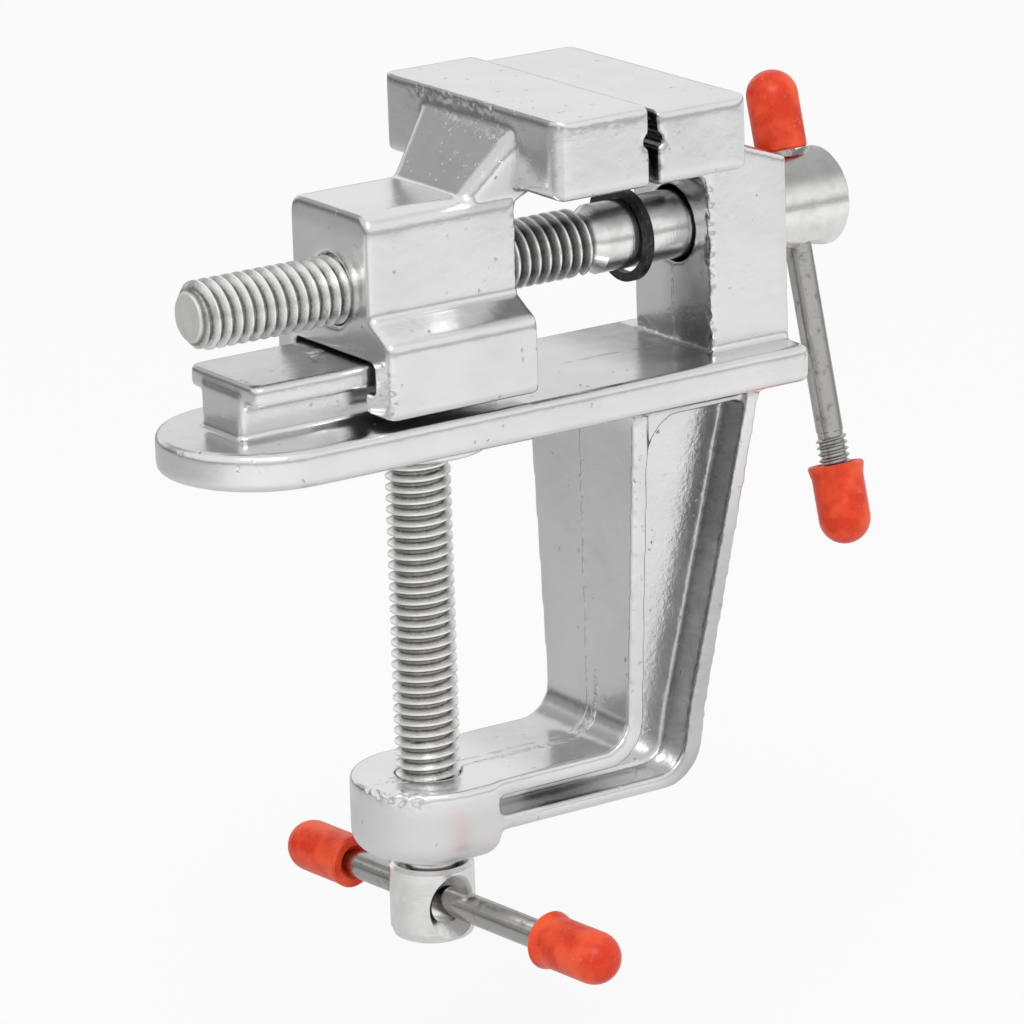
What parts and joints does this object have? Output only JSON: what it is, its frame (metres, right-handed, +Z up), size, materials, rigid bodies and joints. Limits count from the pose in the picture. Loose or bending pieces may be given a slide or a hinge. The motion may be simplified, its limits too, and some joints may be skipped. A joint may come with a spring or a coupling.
{
  "type": "clamp-on mini bench vise",
  "caption": "Small cast bench vise that clamps under a table edge; a screw slides its movable jaw along a T rail.",
  "frame": {"origin": "where the clamp screw's axis meets the underside of the plate, the face that rests on the table", "axes": "+X along the jaw screw towards its head, +Z up, +Y to the right of a person who faces the screw's head"},
  "size_m": [0.0955, 0.0606, 0.1037],
  "materials": {
    "casting": "as-cast, tumbled bright",
    "screw_steel": "zinc plated",
    "bar_steel": "nickel plated",
    "black_steel": "black oxide",
    "soft_cap": "dipped soft vinyl, glossy"
  },
  "bodies": {
    "frame": {"frame_casting": "casting"},
    "jaw_screw": {"jaw_screw": "screw_steel"},
    "movable_jaw": {"movable_jaw": "casting"},
    "retaining_ring": {"retaining_ring": "black_steel"},
    "jaw_bar": {"jaw_screw_bar": "bar_steel", "jaw_bar_cap_top": "soft_cap", "jaw_bar_cap_low": "soft_cap"},
    "clamp_pad": {"clamp_pad": "screw_steel"},
    "clamp_screw": {"clamp_screw": "screw_steel"},
    "clamp_bar": {"clamp_screw_bar": "bar_steel", "clamp_bar_cap_front": "soft_cap", "clamp_bar_cap_back": "soft_cap"}
  },
  "joints": [
    {"name": "jaw_screw_spin", "type": "hinge", "parent": "frame", "child": "jaw_screw", "pos_m": [0.0442, 0, 0.0195], "axis": [1, 0, 0], "range_deg": [-252, 5760]},
    {"name": "jaw_slide", "type": "slide", "parent": "frame", "child": "movable_jaw", "axis": [-1, 0, 0], "range_m": [-0.00107, 0.0241]},
    {"name": "ring_slide", "type": "slide", "parent": "frame", "child": "retaining_ring", "axis": [1, 0, 0], "range_m": [-0.0195, 0.006]},
    {"name": "jaw_bar_slide", "type": "slide", "parent": "jaw_screw", "child": "jaw_bar", "axis": [0, 0.2571, 0.9664], "range_m": [0, 0.0266]},
    {"name": "clamp_travel", "type": "slide", "parent": "frame", "child": "clamp_pad", "axis": [0, 0, -1], "range_m": [0, 0.038]},
    {"name": "clamp_screw_spin", "type": "hinge", "parent": "clamp_pad", "child": "clamp_screw", "pos_m": [0, 0, -0.03], "axis": [0, 0, -1], "range_deg": [0, 9760]},
    {"name": "clamp_bar_slide", "type": "slide", "parent": "clamp_screw", "child": "clamp_bar", "axis": [0.0941, -0.9956, 0], "range_m": [-0.0166, 0.01]}
  ],
  "couplings": [
    {"joint": "jaw_slide", "follows": "jaw_screw_spin", "m_per_rad": 0.00023873},
    {"joint": "clamp_travel", "follows": "clamp_screw_spin", "m_per_rad": 0.00022282}
  ]
}
